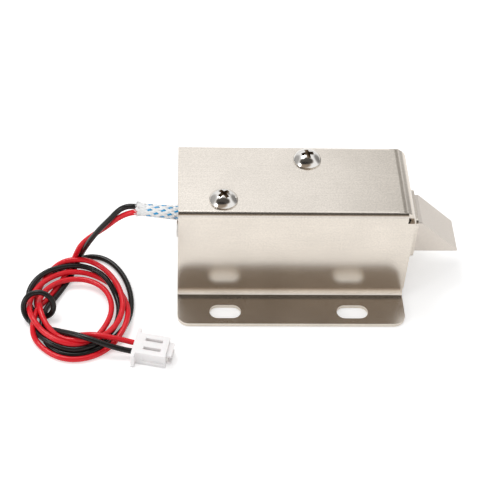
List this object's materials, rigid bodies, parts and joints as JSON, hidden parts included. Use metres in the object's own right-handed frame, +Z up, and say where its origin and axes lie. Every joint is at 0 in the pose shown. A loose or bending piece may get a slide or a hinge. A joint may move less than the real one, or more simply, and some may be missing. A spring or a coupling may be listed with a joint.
{
  "type": "solenoid lock",
  "caption": "Solenoid lock: folded nickel-plated housing with slotted flanges over an open-frame solenoid, sprung square latch bolt with a bevel, coiled leads and a small plug.",
  "frame": {"origin": "middle of the four mounting slots, on the mounting surface", "axes": "+X the way the latch bolt points, +Y towards the rear flange, +Z up from the mounting surface"},
  "size_m": [0.1015, 0.0547, 0.0297],
  "materials": {
    "nickel_plate": "satin nickel plate",
    "yoke_steel": "zinc-plated mild steel",
    "bobbin_nylon": "moulded nylon",
    "copper_wire": "enamelled copper wire",
    "polyester_tape": "yellow polyester film tape",
    "core_steel": "turned and nickel-plated steel",
    "brass": "drawn brass",
    "spring_steel": "plated spring wire",
    "bolt_steel": "satin plated steel",
    "screw_chrome": "bright nickel plate",
    "solder": "tin solder",
    "glass_braid": "white glass-fibre braid with blue tracer threads",
    "red_insulation": "smooth vinyl insulation",
    "black_insulation": "smooth vinyl insulation",
    "connector_nylon": "natural nylon, slightly translucent",
    "tinned_contact": "tin-plated bronze"
  },
  "bodies": {
    "lock_body": {"housing": "nickel_plate", "yoke_frame": "yoke_steel", "pole_plate": "yoke_steel", "bobbin": "bobbin_nylon", "coil_winding": "copper_wire", "coil_tape": "polyester_tape", "fixed_core": "core_steel", "core_disc": "brass", "guide_tube": "brass", "return_spring": "spring_steel", "bolt_guide": "nickel_plate", "cover_screws": "screw_chrome", "solder_joints": "solder", "lead_sleeve": "glass_braid", "red_lead": "red_insulation", "black_lead": "black_insulation", "lead_coil": "red_insulation", "red_tail": "red_insulation", "black_tail": "black_insulation", "connector_housing": "connector_nylon", "crimp_contacts": "tinned_contact"},
    "bolt_slide": {"latch_bolt": "bolt_steel", "plunger": "core_steel", "bolt_pin": "core_steel", "stop_washer": "core_steel"}
  },
  "joints": [
    {"name": "bolt_travel", "type": "slide", "parent": "lock_body", "child": "bolt_slide", "axis": [-1, 0, 0], "range_m": [0, 0.01], "stiffness_N_per_m": 120, "springref_m": -0.006, "deforming": ["return_spring"]}
  ]
}
